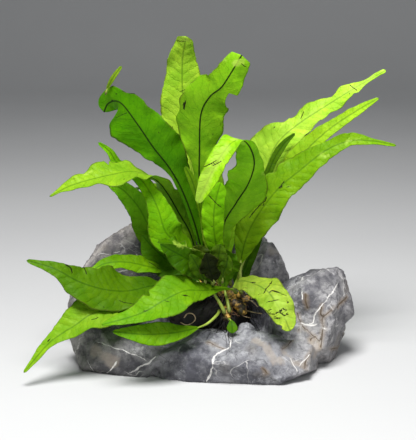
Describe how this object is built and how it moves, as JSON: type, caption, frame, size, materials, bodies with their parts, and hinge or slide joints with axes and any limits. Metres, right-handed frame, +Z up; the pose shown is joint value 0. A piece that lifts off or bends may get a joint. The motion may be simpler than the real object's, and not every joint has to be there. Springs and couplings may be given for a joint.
{
  "type": "java fern on stone",
  "caption": "Java fern with broad strap leaves rooted by its creeping stem on a grey white-veined limestone, an aquarium decoration that stands on the stone's flat base.",
  "frame": {"origin": "centre of the stone's flat base", "axes": "+Z up; +X to the right and +Y away from a viewer facing the plant as in the picture"},
  "size_m": [0.262, 0.1599, 0.2342],
  "materials": {
    "leaf_bright": "lit yellow-green leaf, satin, lets light through",
    "leaf_mid": "mid green leaf, satin, lets light through",
    "leaf_dark": "deep green leaf, satin",
    "rhizome": "knobbly green-brown creeping stem",
    "roots": "dark brown matted root fibres",
    "limestone": "broken grey limestone with white calcite veins, matt"
  },
  "bodies": {
    "root": {"stone": "limestone", "root_clump": "roots", "rhizome": "rhizome", "rhizome_branch": "rhizome", "frond_back_tall": "leaf_bright", "frond_left_tall": "leaf_mid", "frond_centre_tall": "leaf_mid", "frond_over_arching": "leaf_mid", "frond_right_long": "leaf_bright", "frond_right_slender": "leaf_mid", "frond_right_low": "leaf_mid", "frond_right_short": "leaf_dark", "frond_left_arching": "leaf_bright", "frond_left_curled": "leaf_mid", "frond_left_rear": "leaf_dark", "frond_crown_left": "leaf_mid", "frond_crown_crinkled": "leaf_dark", "frond_crown_front": "leaf_dark", "frond_rolled_tip": "leaf_mid", "frond_crown_upright": "leaf_mid", "frond_low_left": "leaf_bright", "frond_left_bent": "leaf_mid", "frond_drooping_left": "leaf_bright", "frond_front_low": "leaf_mid", "frond_front_broad": "leaf_bright", "frond_front_right": "leaf_bright", "plantlet": "leaf_bright", "small_round_leaf": "leaf_dark", "frond_crown_rear": "leaf_dark", "frond_rear_left": "leaf_mid", "frond_rear_right": "leaf_mid", "frond_rear_centre": "leaf_mid"}
  },
  "joints": []
}
